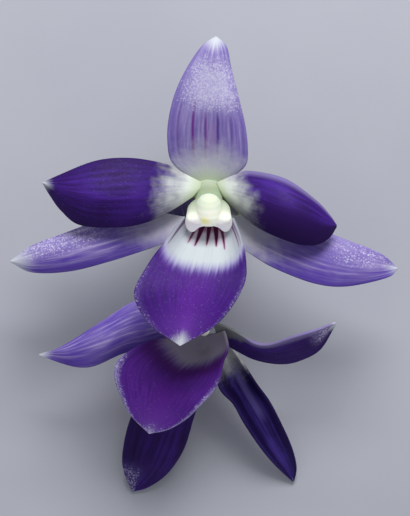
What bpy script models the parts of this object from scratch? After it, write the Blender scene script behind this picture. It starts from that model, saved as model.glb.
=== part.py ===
"""Flowering spray of a victoria-reginae orchid: two blooms on one short raceme stalk, lying as picked.

The blooms face up (+Z), the upper one towards +Y. Lengths in the tables are in millimetres.
"""
import math

import bmesh
import bpy
from mathutils import Matrix, Vector

MM = 0.001
BLADE_THICKNESS = 0.7
BLADE_ROWS = 18
BLADE_COLUMNS = 8
TIP_CROWDING = 1.35
MERGE_DISTANCE = 0.000002
SPRAY_NAME = "orchid_spray"

# Guide curves of every petal, sepal and lip: first edge, midrib, second edge, from base to tip (mm).
BLADES = {
    "upper_dorsal_sepal": (
        [(-0.31, 7.78, 13.2), (-2.11, 8.72, 13.9), (-3.8, 10.16, 15), (-4.2, 12.22, 16.2),
         (-4.08, 14.48, 17.2), (-3.44, 17.14, 18.2), (-2.18, 19.79, 19), (-0.51, 22.13, 19.6),
         (0.94, 23.04, 19.9)],
        [(0.23, 7.78, 13.2), (0.12, 9.86, 14.6), (0.06, 12.42, 16.4), (0.11, 15.47, 18.2),
         (0.32, 18.51, 19.4), (0.63, 21.04, 20.2), (0.94, 23.03, 20)],
        [(0.76, 7.78, 13.2), (2.56, 8.5, 13.9), (4.14, 9.74, 15), (4.33, 11.39, 15.9),
         (4.1, 13.75, 17), (3.46, 16.52, 18.1), (2.61, 19.78, 19.1), (2.09, 22.03, 19.6),
         (0.94, 23.04, 19.9)],
    ),
    "upper_petal_left": (
        [(-0.41, 8.01, 14.3), (-2.74, 9.21, 15), (-4.43, 10.04, 15.4), (-8.1, 10.63, 16.3),
         (-11.77, 10.31, 16.6), (-15.47, 8.85, 16.2), (-17.42, 7.98, 15.4)],
        [(-0.57, 7.37, 14.5), (-3.89, 6.85, 15.9), (-7.02, 6.4, 17.3), (-11.19, 6.28, 17.9),
         (-14.36, 6.71, 17.3), (-17.41, 7.97, 15.6)],
        [(-1.31, 6.57, 14.65), (-3.53, 5.08, 15.2), (-6, 3.8, 15.7), (-9.16, 3.16, 15.9),
         (-13.4, 3.38, 15.6), (-15.51, 4.96, 15.6), (-16.68, 6.65, 15.5), (-17.42, 7.98, 15.4)],
    ),
    "upper_petal_right": (
        [(0.91, 8.01, 14.3), (2.97, 8.89, 15.1), (4.55, 9.3, 15.5), (8.32, 8.41, 16.6),
         (11.48, 6.21, 16.4), (12.99, 4.64, 15.7), (13.78, 3.49, 14.9)],
        [(1.18, 7.26, 14.5), (4.53, 6.2, 16.6), (7.86, 5.02, 17.9), (10.8, 3.98, 17.5),
         (12.65, 3.37, 16.2), (13.77, 3.39, 15)],
        [(1.97, 6.15, 14.5), (3.82, 4.28, 15.1), (6.03, 2.74, 15.7), (9.19, 1.48, 15.9),
         (11.31, 1.27, 15.6), (12.92, 2.01, 15.1), (13.78, 3.28, 14.9)],
    ),
    "upper_lateral_sepal_left": (
        [(-1.05, 4.16, 13), (-6.06, 4.9, 13.2), (-11.38, 4.05, 13.4), (-15.64, 2.56, 13.5),
         (-18.85, 1.28, 13.2), (-21.05, -0.32, 12.4)],
        [(-1.05, 3.42, 12.9), (-6.05, 2.98, 13.6), (-11.35, 1.59, 14.2), (-15.6, 0.53, 14.2),
         (-18.82, -0.11, 13.6), (-21.04, -0.37, 12.5)],
        [(-1.05, 2.67, 13), (-4.46, 1.6, 13.2), (-6.06, 0.96, 13.3), (-10.32, -0.43, 13.4),
         (-14.58, -1.49, 13.4), (-18.66, -1.6, 13), (-21.05, -0.43, 12.4)],
    ),
    "upper_lateral_sepal_right": (
        [(1.51, 4.16, 13), (5.88, 4.91, 13.1), (9.93, 3.95, 13.1), (13.44, 2.56, 13.2),
         (15.36, 1.81, 13.3), (18.57, 0.53, 13.1), (20.44, -1.07, 12.4)],
        [(1.51, 3.42, 12.9), (5.87, 2.56, 13.4), (9.9, 1.06, 13.8), (14.14, -0.42, 14.1),
         (17.35, -0.96, 13.7), (20.43, -1.12, 12.5)],
        [(1.51, 2.67, 13), (4.6, 0.43, 13.2), (7.26, -1.17, 13.3), (11.4, -2.77, 13.6),
         (14.91, -3.09, 13.6), (19.22, -2.13, 13), (20.44, -1.18, 12.4)],
    ),
    "upper_lip": (
        [(-2.31, 4.43, 15.9), (-4.08, 2.1, 17), (-6.04, -0.42, 18.6), (-7.57, -3.22, 19.8),
         (-7.05, -5.39, 20), (-5.49, -7.37, 19.8), (-2.8, -9.15, 19.4)],
        [(0.23, 3.62, 13.7), (-0.09, 1.37, 16), (-0.72, -1.25, 18.6), (-1.55, -4.36, 19.7),
         (-2.28, -6.96, 19.8), (-2.8, -9.15, 19.4)],
        [(2.65, 4.32, 15.9), (3.58, 2.1, 17), (4.08, -0.42, 18.4), (3.96, -2.5, 19.4),
         (2.6, -5.09, 19.9), (0.53, -7.37, 19.7), (-2.8, -9.15, 19.4)],
    ),
    "lower_dorsal_sepal": (
        [(-0.96, -4.66, 8.9), (-2.27, -3.05, 8), (-3.37, -0.44, 6.9), (-4.15, 2.85, 5.9),
         (-4.38, 5.83, 5.2), (-3.62, 8.82, 4.6)],
        [(-0.31, -4.55, 8.9), (-0.42, -2.17, 8.1), (-0.86, 1.09, 6.9), (-1.96, 4.94, 5.7),
         (-3.62, 8.81, 4.7)],
        [(0.34, -4.66, 8.9), (1.87, -2.94, 7.8), (2.1, -0.44, 6.6), (1.01, 2.85, 5.7),
         (-0.97, 5.94, 5.1), (-3.62, 8.82, 4.6)],
    ),
    "lower_petal_left": (
        [(-2.74, -5.68, 9.4), (-4.19, -4.96, 10.2), (-6.12, -4.41, 10.8), (-7.94, -4.62, 11.1),
         (-10.93, -6.44, 11.5), (-14.7, -8.91, 11.3), (-16.76, -10, 10.9), (-18.09, -10.35, 10.4)],
        [(-2.74, -6.6, 9.3), (-5.04, -6.89, 10.8), (-8.24, -7.61, 11.8), (-11.44, -8.99, 12.2),
         (-14.67, -10.18, 11.8), (-18.08, -10.34, 10.5)],
        [(-2.74, -7.63, 9.3), (-4.19, -8.96, 10), (-6.67, -9.92, 10.3), (-8.92, -10.34, 10.6),
         (-11.82, -11.62, 10.8), (-13.65, -11.84, 10.8), (-15.59, -11.41, 10.7),
         (-18.09, -10.45, 10.4)],
    ),
    "lower_petal_right": (
        [(0.45, -7, 10.6), (2.06, -7.48, 10.9), (3.66, -8.31, 11.6), (5.04, -9.14, 12.6),
         (6.73, -9.27, 13.3), (9.36, -8.39, 14.2), (11.81, -7.65, 14), (13.76, -6.93, 13.2)],
        [(0.77, -7.89, 9.6), (3.04, -9.23, 9.9), (5.92, -10.31, 11.2), (8.9, -9.95, 12.2),
         (11.54, -8.86, 12.9), (13.77, -7.04, 13.1)],
        [(0.88, -8.56, 9.1), (1.86, -9.33, 8.7), (3.27, -10.21, 8.5), (5.33, -11.18, 8.6),
         (7.81, -11.59, 9.2), (10.15, -11.11, 10.2), (12.25, -9.88, 11.4), (13.77, -7.15, 13)],
    ),
    "lower_lateral_sepal_left": (
        [(-1.73, -7.52, 7.4), (-4.46, -10.92, 6.9), (-7, -14.69, 6), (-8.57, -17.83, 4.9),
         (-9.39, -21.37, 3.4), (-9.33, -23.72, 1.9), (-8.37, -26.2, 0.4)],
        [(-0.96, -7.75, 7.2), (-2.49, -12.21, 7.4), (-4.02, -15.51, 7), (-5.35, -18.86, 5.9),
         (-6.49, -22.07, 4.3), (-7.43, -24.49, 2), (-8.37, -26.2, 0.4)],
        [(-0.53, -7.96, 7.4), (-0.53, -10.03, 7.3), (-0.42, -12.78, 7), (-0.75, -15.55, 6.2),
         (-1.41, -17.81, 5.2), (-2.52, -21.35, 3.6), (-4.43, -24.15, 2), (-6.57, -25.71, 0.8),
         (-8.37, -26.2, 0.4)],
    ),
    "lower_lateral_sepal_right": (
        [(0.67, -8.3, 7.1), (0.89, -10.05, 7), (1.11, -12.01, 7), (1.55, -14.29, 7.2),
         (3.08, -15.83, 7), (4.29, -18.09, 6), (6.09, -20.86, 4.2), (7.81, -23.13, 2.2),
         (9.76, -25.08, 0.45)],
        [(0.89, -8.42, 6.7), (2.44, -11.53, 5.5), (3.88, -14.43, 4.7), (5.43, -17.12, 4),
         (7.01, -19.96, 3), (8.6, -22.62, 1.7), (9.76, -25.08, 0.45)],
        [(1.66, -8.74, 6.9), (3.08, -10.39, 6.6), (4.18, -12.15, 6.4), (5.39, -14.03, 6.1),
         (6.83, -15.93, 5.5), (8.3, -18.76, 4.3), (9.33, -21.05, 3.2), (9.94, -23.4, 1.7),
         (9.76, -25.08, 0.45)],
    ),
    "lower_lip": (
        [(-4.05, -8.98, 12.4), (-5.21, -8.85, 13.2), (-7.11, -9.36, 13.8), (-9.23, -10.73, 14),
         (-9.88, -12.56, 13.6), (-9.18, -14.97, 12.4), (-8.15, -17.08, 11.2), (-6.25, -19.01, 9.8)],
        [(-0.31, -9.63, 9.3), (-1.39, -10.56, 10.4), (-3.2, -12.23, 11.6), (-4.49, -14.8, 11.6),
         (-5.58, -17.22, 10.8), (-6.25, -19.01, 9.8)],
        [(2.05, -8.9, 11.8), (2.15, -9.84, 12.4), (1.61, -11.09, 13.2), (1.29, -12.78, 13.4),
         (0.65, -14.29, 13), (-0.84, -15.93, 12.4), (-2.24, -17.39, 11.4), (-4.19, -18.53, 10.5),
         (-6.25, -19.01, 9.8)],
    ),
}

# How sharply each blade folds along its midrib: 2 is a round trough or ridge, lower is a crease.
FOLD_POWER = {
    "upper_petal_left": 1.6,
    "lower_lateral_sepal_right": 1.6,
    "lower_lip": 1.5,
}
ROUND_FOLD = 2.0

# Stalks: points along the centre line and the radius at each point (mm).
UPPER_OVARY = [((0.15, 6.8, 12.05), 1.15), ((0.16, 6.8, 11.2), 1.15), ((0.3, 7.1, 9.0), 1.0),
               ((0.9, 7.4, 6.6), 0.8), ((1.6, 7.3, 4.4), 0.66), ((2.0, 7.0, 2.4), 0.72)]
LOWER_OVARY = [((-0.2, -6.1, 7.95), 1.1), ((-0.15, -6.05, 7.2), 1.1), ((0.7, -4.6, 5.3), 0.95),
               ((1.8, -1.4, 3.6), 0.74), ((3.2, 2.2, 2.2), 0.64), ((4.2, 5.1, 1.5), 0.68)]
RACHIS = [((-8.2, 7.9, 1.0), 1.15), ((-6.6, 7.8, 0.95), 1.1), ((-3.0, 7.4, 0.9), 0.98),
          ((2.0, 6.8, 0.9), 1.1), ((4.6, 6.45, 0.85), 0.95), ((6.4, 6.1, 0.75), 0.55)]
STALK_SIDES = 4
PATH_SUBDIVISIONS = 5

# The chin behind each lip: centre and half sizes (mm), and how far its long axis dips.
MENTUMS = {
    "upper_mentum": ((0.1, 2.9, 10.85), (1.15, 1.9, 1.25)),
    "lower_mentum": ((-0.3, -9.5, 4.9), (0.9, 1.6, 1.0)),
}
MENTUM_DIP = math.radians(40)

# Columns: middle of the foot and the middle of the hood's front end (mm).
COLUMNS = {
    "upper": ((0.15, 7.05, 12.4), (0.2, 3.9, 17.7)),
    "lower": ((-0.5, -6.0, 8.3), (-2.2, -6.6, 12.9)),
}
# Rings of a column: place along it (0 at the foot, 1 at the front), half width and half depth (mm).
COLUMN_RINGS = [(-0.15, 0.75, 0.7), (0.12, 0.8, 0.75), (0.28, 1.15, 0.95), (0.42, 1.66, 1.1),
                (0.55, 2.05, 1.22), (0.68, 2.26, 1.28), (0.82, 2.38, 1.25), (0.93, 2.42, 1.1),
                (1.0, 2.25, 0.85), (1.04, 1.7, 0.5)]
RING_SIDES = 24
CAP_PLACE = 0.85
CAP_RISE = 0.78
# Rings of the bell-shaped anther cap, top to bottom: height, half width and half depth (mm).
CAP_RINGS = [(1.45, 0.35, 0.35), (1.25, 0.72, 0.7), (0.85, 1.0, 1.0), (0.3, 1.18, 1.2),
             (-0.3, 1.25, 1.28), (-0.8, 1.25, 1.2), (-1.15, 1.15, 0.95), (-1.3, 0.9, 0.6)]
SEAT_GAP = 0.3
MOUTH_PLACE = 0.78
MOUTH_DROP = 1.15
MOUTH_HALF_SIZE = (1.25, 0.75, 1.5)
WING_PLACE = 0.86
WING_SPREAD = 1.75
WING_DROP = 0.62
WING_HALF_SIZE = (0.74, 1.18, 0.78)
LEDGE_CENTRE = (0.0, -1.5, 0.45)
LEDGE_HALF_SIZE = (0.8, 1.5, 0.4)

# Bracts: root, tip and half width (mm).
BRACTS = {
    "bract_base": ((-7.8, 7.85, 2.85), (-3.6, 7.5, 3.1), 0.9),
    "bract_upper": ((1.9, 8.5, 1.2), (2.1, 9.7, 4.4), 0.9),
    "bract_lower": ((4.7, 8.15, 0.9), (5.7, 9.0, 3.4), 0.8),
}
# Rings of a bract: place along it, share of its half width, half thickness and outward bow (mm).
BRACT_RINGS = [(0.0, 0.8, 0.3, 0.0), (0.2, 1.0, 0.32, 0.16), (0.45, 0.95, 0.32, 0.26),
               (0.7, 0.7, 0.32, 0.22), (0.88, 0.48, 0.31, 0.1), (1.0, 0.34, 0.3, 0.0)]
BRACT_SIDES = 16
BRACT_SQUARENESS = 0.7

# How far the blocks that cut a flat reach (mm): under a column's foot, and under the whole spray.
FOOT_CUT_REACH = 5
FLOOR_CUT_REACH = 60

COLOURS = {
    "violet": (0.13, 0.05, 0.33, 1.0),
    "lavender": (0.3, 0.24, 0.52, 1.0),
    "lip_purple": (0.16, 0.03, 0.4, 1.0),
    "cream": (0.8, 0.82, 0.68, 1.0),
    "pollen_cap": (0.86, 0.86, 0.72, 1.0),
    "green": (0.3, 0.36, 0.15, 1.0),
    "bract_brown": (0.45, 0.38, 0.24, 1.0),
}


def clear_scene():
    """Start from an empty scene."""
    for obj in list(bpy.data.objects):
        bpy.data.objects.remove(obj, do_unlink=True)


def new_collection(name):
    """A collection linked to the scene."""
    collection = bpy.data.collections.new(name)
    bpy.context.scene.collection.children.link(collection)
    return collection


def material(name, colour):
    """A Principled material of one colour."""
    mat = bpy.data.materials.new(name)
    mat.use_nodes = True
    shader = mat.node_tree.nodes["Principled BSDF"]
    shader.inputs["Base Color"].default_value = colour
    shader.inputs["Roughness"].default_value = 0.5
    return mat


def add_object(name, mesh, collection, colour):
    """Link a mesh as a named object with its own material."""
    obj = bpy.data.objects.new(name, mesh)
    collection.objects.link(obj)
    mesh.materials.clear()
    mesh.materials.append(material(name, COLOURS[colour]))
    return obj


def spline_point(points, t):
    """Point of a Catmull-Rom curve through points, t from 0 to the number of spans."""
    last = len(points) - 1
    i = min(int(t), last - 1)
    f = t - i
    p1 = points[i]
    p2 = points[i + 1]
    p0 = points[i - 1] if i > 0 else p1 * 2 - p2
    p3 = points[i + 2] if i + 2 <= last else p2 * 2 - p1
    a = p1 * 2
    b = (p2 - p0) * f
    c = (p0 * 2 - p1 * 5 + p2 * 4 - p3) * f * f
    d = (p1 * 3 - p0 - p2 * 3 + p3) * f * f * f
    return (a + b + c + d) * 0.5


def resample(raw, fractions):
    """Points of the smooth curve through raw (mm) at the given fractions of its length."""
    points = [Vector(p) for p in raw]
    steps = 24
    dense = [spline_point(points, i / steps) for i in range((len(points) - 1) * steps + 1)]
    lengths = [0.0]
    for a, b in zip(dense, dense[1:]):
        lengths.append(lengths[-1] + (b - a).length)
    result = []
    for fraction in fractions:
        target = fraction * lengths[-1]
        i = 0
        while i < len(lengths) - 2 and lengths[i + 1] < target:
            i += 1
        span = max(lengths[i + 1] - lengths[i], 1e-9)
        result.append(dense[i].lerp(dense[i + 1], min(max((target - lengths[i]) / span, 0.0), 1.0)))
    return result


def blade_surface(edge_a, midrib, edge_b, fold):
    """Triangulated front face of a blade, lofted through its two edges and its midrib."""
    fractions = [1 - (1 - i / BLADE_ROWS) ** TIP_CROWDING for i in range(BLADE_ROWS + 1)]
    line_a = resample(edge_a, fractions)
    line_m = resample(midrib, fractions)
    line_b = resample(edge_b, fractions)
    bm = bmesh.new()
    grid = []
    for a, m, b in zip(line_a[:-1], line_m[:-1], line_b[:-1]):
        row = []
        for j in range(BLADE_COLUMNS + 1):
            v = 2 * j / BLADE_COLUMNS - 1
            point = m + (b - a) * (v / 2) + ((a + b) / 2 - m) * abs(v) ** fold
            row.append(bm.verts.new(point * MM))
        grid.append(row)
    tip = bm.verts.new(line_m[-1] * MM)
    for row, following in zip(grid, grid[1:]):
        for j in range(BLADE_COLUMNS):
            near_a, near_b = row[j], row[j + 1]
            far_a, far_b = following[j], following[j + 1]
            if j < BLADE_COLUMNS // 2:
                bm.faces.new((near_a, near_b, far_b))
                bm.faces.new((near_a, far_b, far_a))
            else:
                bm.faces.new((near_a, near_b, far_a))
                bm.faces.new((near_b, far_b, far_a))
    for j in range(BLADE_COLUMNS):
        bm.faces.new((grid[-1][j], grid[-1][j + 1], tip))
    bm.normal_update()
    facing = sum((face.normal * face.calc_area() for face in bm.faces), Vector())
    if facing.z < 0:
        bmesh.ops.reverse_faces(bm, faces=bm.faces[:])
    return bm


def apply_modifiers(obj):
    """Replace the object's mesh with the result of its modifiers."""
    depsgraph = bpy.context.evaluated_depsgraph_get()
    mesh = bpy.data.meshes.new_from_object(obj.evaluated_get(depsgraph))
    obj.modifiers.clear()
    obj.data = mesh


def blade(name, collection, colour, curves, fold=ROUND_FOLD):
    """A petal, sepal or lip: its lofted front face thickened backwards."""
    bm = blade_surface(*curves, fold)
    mesh = bpy.data.meshes.new(name)
    bm.to_mesh(mesh)
    bm.free()
    obj = add_object(name, mesh, collection, colour)
    solid = obj.modifiers.new("thickness", "SOLIDIFY")
    solid.thickness = BLADE_THICKNESS * MM
    solid.offset = -1
    solid.use_even_offset = False
    apply_modifiers(obj)
    return obj


def stalk(name, collection, colour, stations):
    """A round tapering stalk with closed ends, made from a bevelled curve."""
    curve = bpy.data.curves.new(name, "CURVE")
    curve.dimensions = "3D"
    curve.bevel_mode = "ROUND"
    curve.bevel_depth = MM
    curve.bevel_resolution = STALK_SIDES
    curve.use_fill_caps = True
    curve.resolution_u = PATH_SUBDIVISIONS
    points = [Vector(point) for point, radius in stations]
    radii = [radius for point, radius in stations]
    spans = (len(points) - 1) * PATH_SUBDIVISIONS
    spline = curve.splines.new("POLY")
    spline.points.add(spans)
    for i in range(spans + 1):
        t = i / PATH_SUBDIVISIONS
        k = min(int(t), len(points) - 2)
        position = spline_point(points, t)
        spline.points[i].co = (*(position * MM), 1.0)
        spline.points[i].radius = radii[k] + (radii[k + 1] - radii[k]) * (t - k)
    source = bpy.data.objects.new(name + "_curve", curve)
    bpy.context.scene.collection.objects.link(source)
    mesh = bpy.data.meshes.new_from_object(source.evaluated_get(bpy.context.evaluated_depsgraph_get()))
    bpy.data.objects.remove(source, do_unlink=True)
    bm = bmesh.new()
    bm.from_mesh(mesh)
    bmesh.ops.remove_doubles(bm, verts=bm.verts[:], dist=MERGE_DISTANCE)
    bmesh.ops.recalc_face_normals(bm, faces=bm.faces[:])
    bm.to_mesh(mesh)
    bm.free()
    return add_object(name, mesh, collection, colour)


def ellipsoid(name, collection, centre, half_size, rotation, segments=24, rings=14):
    """An ellipsoid mesh object placed by matrix."""
    bm = bmesh.new()
    bmesh.ops.create_uvsphere(bm, u_segments=segments, v_segments=rings, radius=1.0)
    scale = Matrix.Diagonal((half_size[0] * MM, half_size[1] * MM, half_size[2] * MM, 1.0))
    bm.transform(Matrix.Translation(Vector(centre) * MM) @ rotation @ scale)
    mesh = bpy.data.meshes.new(name)
    bm.to_mesh(mesh)
    bm.free()
    obj = bpy.data.objects.new(name, mesh)
    collection.objects.link(obj)
    return obj


def block(name, collection, low, high):
    """An axis-aligned box between two corners (mm)."""
    bm = bmesh.new()
    bmesh.ops.create_cube(bm, size=1.0)
    low = Vector(low) * MM
    high = Vector(high) * MM
    size = high - low
    bm.transform(Matrix.Translation((low + high) / 2) @ Matrix.Diagonal((*size, 1.0)))
    mesh = bpy.data.meshes.new(name)
    bm.to_mesh(mesh)
    bm.free()
    obj = bpy.data.objects.new(name, mesh)
    collection.objects.link(obj)
    return obj


def combine(obj, others, operation):
    """Boolean obj with each of the others, then remove them."""
    for other in others:
        modifier = obj.modifiers.new("combine", "BOOLEAN")
        modifier.operation = operation
        modifier.solver = "EXACT"
        modifier.object = other
        apply_modifiers(obj)
        bpy.data.objects.remove(other, do_unlink=True)


def bell(name, collection, centre, turn, grow=0.0):
    """The bell-shaped anther cap, or its seat when grown: rings from top to bottom."""
    bm = bmesh.new()
    rings = []
    for height, half_width, half_depth in CAP_RINGS:
        level = height + math.copysign(grow, height)
        ring = []
        for i in range(RING_SIDES):
            angle = 2 * math.pi * i / RING_SIDES
            across = (half_width + grow) * math.cos(angle)
            through = (half_depth + grow) * math.sin(angle)
            point = turn @ Vector((across, level, through))
            ring.append(bm.verts.new((Vector(centre) + point) * MM))
        rings.append(ring)
    for ring, following in zip(rings, rings[1:]):
        for i in range(RING_SIDES):
            k = (i + 1) % RING_SIDES
            bm.faces.new((ring[i], ring[k], following[k], following[i]))
    bm.faces.new(rings[0])
    bm.faces.new(rings[-1])
    bmesh.ops.recalc_face_normals(bm, faces=bm.faces[:])
    mesh = bpy.data.meshes.new(name)
    bm.to_mesh(mesh)
    bm.free()
    obj = bpy.data.objects.new(name, mesh)
    collection.objects.link(obj)
    return obj


def column_frame(bloom):
    """Foot, axis, length, side direction, upward direction and turn of a column."""
    foot, front = (Vector(point) for point in COLUMNS[bloom])
    axis = (front - foot).normalized()
    up = axis.cross(Vector((1.0, 0.0, 0.0))).normalized()
    side = up.cross(axis).normalized()
    turn = Matrix((side, up, axis)).transposed().to_4x4()
    return foot, axis, (front - foot).length, side, up, turn


def column_body(name, collection, foot, axis, length, side, up):
    """The column's solid body: rings that widen from its foot into the hood."""
    bm = bmesh.new()
    rings = []
    for place, half_width, half_depth in COLUMN_RINGS:
        middle = foot + axis * (place * length)
        ring = []
        for i in range(RING_SIDES):
            angle = 2 * math.pi * i / RING_SIDES
            across = side * (half_width * math.cos(angle))
            through = up * (half_depth * math.sin(angle))
            ring.append(bm.verts.new((middle + across + through) * MM))
        rings.append(ring)
    for ring, following in zip(rings, rings[1:]):
        for i in range(RING_SIDES):
            k = (i + 1) % RING_SIDES
            bm.faces.new((ring[i], ring[k], following[k], following[i]))
    bm.faces.new(rings[0])
    bm.faces.new(rings[-1])
    bmesh.ops.recalc_face_normals(bm, faces=bm.faces[:])
    mesh = bpy.data.meshes.new(name)
    bm.to_mesh(mesh)
    bm.free()
    obj = bpy.data.objects.new(name, mesh)
    collection.objects.link(obj)
    return obj


def column_and_cap(bloom, parts, cutters):
    """The column with its hollow hood and wing teeth, and the anther cap seated in the hood."""
    foot, axis, length, side, up, turn = column_frame(bloom)
    column = column_body(bloom + "_column", parts, foot, axis, length, side, up)
    column.data.materials.append(material(bloom + "_column", COLOURS["cream"]))
    additions = []
    for sign in (-1, 1):
        middle = foot + axis * (length * WING_PLACE) + side * (sign * WING_SPREAD) - up * WING_DROP
        additions.append(ellipsoid(bloom + "_wing", cutters, middle, WING_HALF_SIZE, turn))
    upright = Matrix.Identity(4)
    additions.append(ellipsoid(bloom + "_ledge", cutters, foot + Vector(LEDGE_CENTRE),
                               LEDGE_HALF_SIZE, upright))
    combine(column, additions, "UNION")
    cap_centre = foot + axis * (length * CAP_PLACE) + up * CAP_RISE
    seat = bell(bloom + "_seat", cutters, cap_centre, turn, SEAT_GAP)
    mouth = ellipsoid(bloom + "_mouth", cutters, foot + axis * (length * MOUTH_PLACE) - up * MOUTH_DROP,
                      MOUTH_HALF_SIZE, turn)
    reach = Vector((FOOT_CUT_REACH, FOOT_CUT_REACH, 0))
    deep = Vector((0, 0, FOOT_CUT_REACH))
    under = block(bloom + "_under", cutters, foot - reach - deep, foot + reach)
    combine(column, [seat, mouth, under], "DIFFERENCE")
    cap = bell(bloom + "_anther_cap", parts, cap_centre, turn)
    cap.data.materials.append(material(bloom + "_anther_cap", COLOURS["pollen_cap"]))


def bract(name, parts, root, tip, half_width):
    """A small bowed scale, broad at its root and blunt at its tip, through flattened rings."""
    root = Vector(root)
    along = Vector(tip) - root
    side = along.cross(Vector((0, 0, 1))).normalized()
    outward = side.cross(along).normalized()
    bm = bmesh.new()
    rings = []
    for place, width_share, half_depth, bow in BRACT_RINGS:
        middle = root + along * place + outward * bow
        ring = []
        for i in range(BRACT_SIDES):
            angle = 2 * math.pi * i / BRACT_SIDES
            across = math.copysign(abs(math.cos(angle)) ** BRACT_SQUARENESS, math.cos(angle))
            through = math.copysign(abs(math.sin(angle)) ** BRACT_SQUARENESS, math.sin(angle))
            point = middle + side * (across * width_share * half_width) + outward * (through * half_depth)
            ring.append(bm.verts.new(point * MM))
        rings.append(ring)
    for ring, following in zip(rings, rings[1:]):
        for i in range(BRACT_SIDES):
            k = (i + 1) % BRACT_SIDES
            bm.faces.new((ring[i], ring[k], following[k], following[i]))
    bm.faces.new(rings[0])
    bm.faces.new(rings[-1])
    bmesh.ops.recalc_face_normals(bm, faces=bm.faces[:])
    mesh = bpy.data.meshes.new(name)
    bm.to_mesh(mesh)
    bm.free()
    return add_object(name, mesh, parts, "bract_brown")


def blade_colour(name):
    """Which colour a blade has."""
    if "lip" in name:
        return "lip_purple"
    if "petal" in name:
        return "violet"
    return "lavender"


def flatten_underside(obj, cutters):
    """Cut off what lies below the surface, which leaves a flat spot to rest on."""
    reach = FLOOR_CUT_REACH
    floor = block("floor_cut", cutters, (-reach, -reach, -reach), (reach, reach, 0))
    combine(obj, [floor], "DIFFERENCE")


def split_into_triangles(obj):
    """Split every face into triangles, so that a twisted one has the same shape in every file."""
    bm = bmesh.new()
    bm.from_mesh(obj.data)
    bmesh.ops.triangulate(bm, faces=bm.faces[:])
    bm.to_mesh(obj.data)
    bm.free()


def centre_on_origin(objects):
    """Move every mesh so that the spray's box is centred over the origin."""
    corners = [vertex.co for obj in objects for vertex in obj.data.vertices]
    shift = Vector((
        -(min(c.x for c in corners) + max(c.x for c in corners)) / 2,
        -(min(c.y for c in corners) + max(c.y for c in corners)) / 2,
        -min(c.z for c in corners),
    ))
    for obj in objects:
        obj.data.transform(Matrix.Translation(shift))
    print("moved by (mm):", [round(v / MM, 4) for v in shift])


def build():
    """Build the whole spray."""
    clear_scene()
    parts = new_collection(SPRAY_NAME)
    cutters = new_collection("cutters")
    cutters.hide_render = True
    for name, curves in BLADES.items():
        blade(name, parts, blade_colour(name), curves, FOLD_POWER.get(name, ROUND_FOLD))
    for bloom in COLUMNS:
        column_and_cap(bloom, parts, cutters)
    stalk("upper_ovary", parts, "green", UPPER_OVARY)
    stalk("lower_ovary", parts, "green", LOWER_OVARY)
    for name, (centre, half_size) in MENTUMS.items():
        chin = ellipsoid(name, parts, centre, half_size, Matrix.Rotation(MENTUM_DIP, 4, "X"), 20, 12)
        chin.data.materials.append(material(name, COLOURS["lavender"]))
    stalk("rachis", parts, "green", RACHIS)
    for name, (root, tip, half_width) in BRACTS.items():
        bract(name, parts, root, tip, half_width)
    for name in ("rachis", "lower_lateral_sepal_left", "lower_lateral_sepal_right"):
        flatten_underside(parts.objects[name], cutters)
    for obj in parts.objects:
        split_into_triangles(obj)
    centre_on_origin(list(parts.objects))


build()
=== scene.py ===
# %% [markdown]
# # A victoria-reginae orchid spray
# Two violet blooms sit on one short stalk, as picked from the cane, and the spray lies on its back with the
# blooms facing up. The CAD solids give every petal its place and size. This script grows a finer petal, lip,
# column or stalk in the place of each, and gives each one a material made of nodes.

# %% Load the frame and the tools
import math

import bpy
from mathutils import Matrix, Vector


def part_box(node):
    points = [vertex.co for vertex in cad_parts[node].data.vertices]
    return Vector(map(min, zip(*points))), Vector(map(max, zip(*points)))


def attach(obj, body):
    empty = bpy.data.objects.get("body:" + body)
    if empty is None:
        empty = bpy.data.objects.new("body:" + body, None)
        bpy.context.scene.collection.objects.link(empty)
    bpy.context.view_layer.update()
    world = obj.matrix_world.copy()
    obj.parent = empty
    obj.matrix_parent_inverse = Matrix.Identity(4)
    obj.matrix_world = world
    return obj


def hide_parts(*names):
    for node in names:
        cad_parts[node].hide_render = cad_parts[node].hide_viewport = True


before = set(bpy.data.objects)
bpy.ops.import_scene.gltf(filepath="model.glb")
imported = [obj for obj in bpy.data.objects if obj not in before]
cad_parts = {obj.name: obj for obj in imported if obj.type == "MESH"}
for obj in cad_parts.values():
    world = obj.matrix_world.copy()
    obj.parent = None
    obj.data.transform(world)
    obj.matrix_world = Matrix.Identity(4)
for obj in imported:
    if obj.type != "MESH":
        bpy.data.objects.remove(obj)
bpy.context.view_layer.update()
MM = 0.001

# %% [markdown]
# ## Small helpers
# An operator in Blender acts on what is selected, so each step first lets go of everything and then picks
# one piece. These few helpers keep the later cells short.

# %% Selection helpers
def only(obj):
    """Select one object alone and make it active."""
    bpy.ops.object.select_all(action="DESELECT")
    obj.select_set(True)
    bpy.context.view_layer.objects.active = obj
    return obj


def edit_all(obj):
    """Open a piece in edit mode with everything on it selected."""
    only(obj)
    bpy.ops.object.mode_set(mode="EDIT")
    bpy.ops.mesh.select_all(action="SELECT")


def edit_done():
    """Leave edit mode."""
    bpy.ops.object.mode_set(mode="OBJECT")


def apply_all(obj):
    """Apply every modifier of an object in order."""
    only(obj)
    for name in [modifier.name for modifier in obj.modifiers]:
        bpy.ops.object.modifier_apply(modifier=name)
    return obj


def smooth(obj):
    """Shade a piece smooth."""
    only(obj)
    bpy.ops.object.shade_smooth()
    return obj


def settle(obj, slot, *nodes):
    """A finished piece rides on the spray's one body and stands for its CAD nodes."""
    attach(obj, "root")
    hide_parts(*nodes)
    obj.data.calc_loop_triangles()
    print(obj.name, "stands for", nodes, "with", len(obj.data.loop_triangles), "triangles")
    return obj
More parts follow.
